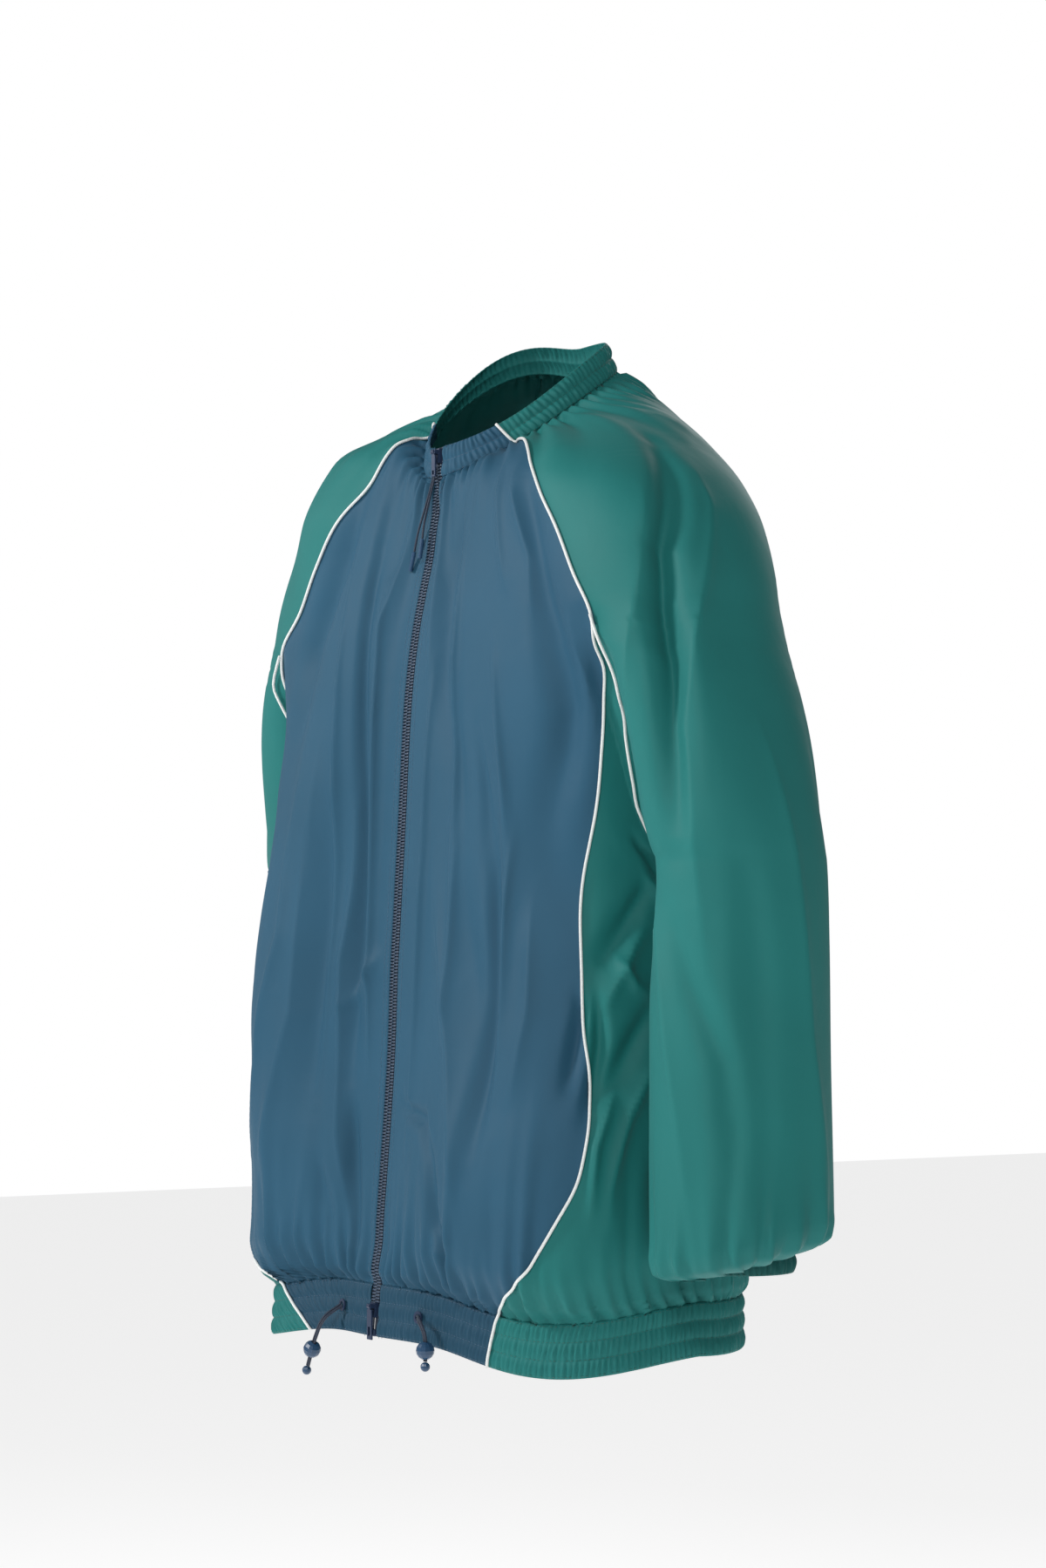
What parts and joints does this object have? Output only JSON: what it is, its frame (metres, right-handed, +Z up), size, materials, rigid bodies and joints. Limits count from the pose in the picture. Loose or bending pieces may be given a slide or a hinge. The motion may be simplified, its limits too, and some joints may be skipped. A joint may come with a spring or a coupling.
{
  "type": "raglan windbreaker, worn form",
  "caption": "Hollow raglan wind jacket in its worn form, with shirred neckband, cuffs and hem, contrast side panels, piping, a full two-way zip and hem drawcords",
  "frame": {"origin": "middle of the neck opening at shoulder height, where the garment hangs on its wearer", "axes": "+Z up, -Y out of the front, +X to the wearer's left"},
  "size_m": [0.6756, 0.2758, 0.7638],
  "materials": {
    "nylon_blue": "crisp light nylon, soft sheen",
    "nylon_green": "crisp light nylon, soft sheen",
    "cuff_teal": "gathered nylon over elastic",
    "piping_white": "matt corded piping",
    "zip_navy": "woven tape with moulded teeth",
    "slider_navy": "satin lacquer",
    "cord_navy": "braided cord",
    "plastic_navy": "moulded plastic"
  },
  "bodies": {
    "garment": {"back": "nylon_green", "cord_end_left": "plastic_navy", "cord_end_right": "plastic_navy", "cord_lock_left": "plastic_navy", "cord_lock_right": "plastic_navy", "cuff_left": "cuff_teal", "cuff_right": "cuff_teal", "drawcord_left_1": "cord_navy", "drawcord_left_2": "cord_navy", "drawcord_right_1": "cord_navy", "drawcord_right_2": "cord_navy", "eyelet_left": "slider_navy", "eyelet_right": "slider_navy", "front_left": "nylon_blue", "front_right": "nylon_blue", "hem_back": "nylon_green", "hem_front_left": "nylon_blue", "hem_front_right": "nylon_blue", "neckband_back": "nylon_green", "neckband_front_left": "nylon_blue", "neckband_front_right": "nylon_blue", "piping_arm_left": "piping_white", "piping_arm_right": "piping_white", "piping_front_left": "piping_white", "piping_front_right": "piping_white", "pocket_left": "nylon_blue", "pocket_right": "nylon_blue", "side_left": "nylon_green", "side_right": "nylon_green", "sleeve_left": "nylon_green", "sleeve_right": "nylon_green", "slider_bottom": "slider_navy", "slider_top": "slider_navy", "zip_box": "slider_navy", "zip_chain": "zip_navy", "zip_tape_left": "zip_navy", "zip_tape_right": "zip_navy"},
    "tab_top": {"pull_tab_top": "slider_navy", "puller_cord_a": "cord_navy", "puller_cord_b": "cord_navy", "cord_tip_a": "plastic_navy", "cord_tip_b": "plastic_navy"},
    "tab_bottom": {"pull_tab_bottom": "slider_navy"}
  },
  "joints": [
    {"name": "tab_top_hinge", "type": "hinge", "parent": "garment", "child": "tab_top", "pos_m": [0, -0.07687, -0.04653], "axis": [-1, 0, 0], "range_deg": [0, 150]},
    {"name": "tab_bottom_hinge", "type": "hinge", "parent": "garment", "child": "tab_bottom", "pos_m": [0, -0.13053, -0.66127], "axis": [-1, 0, 0], "range_deg": [0, 150]}
  ]
}
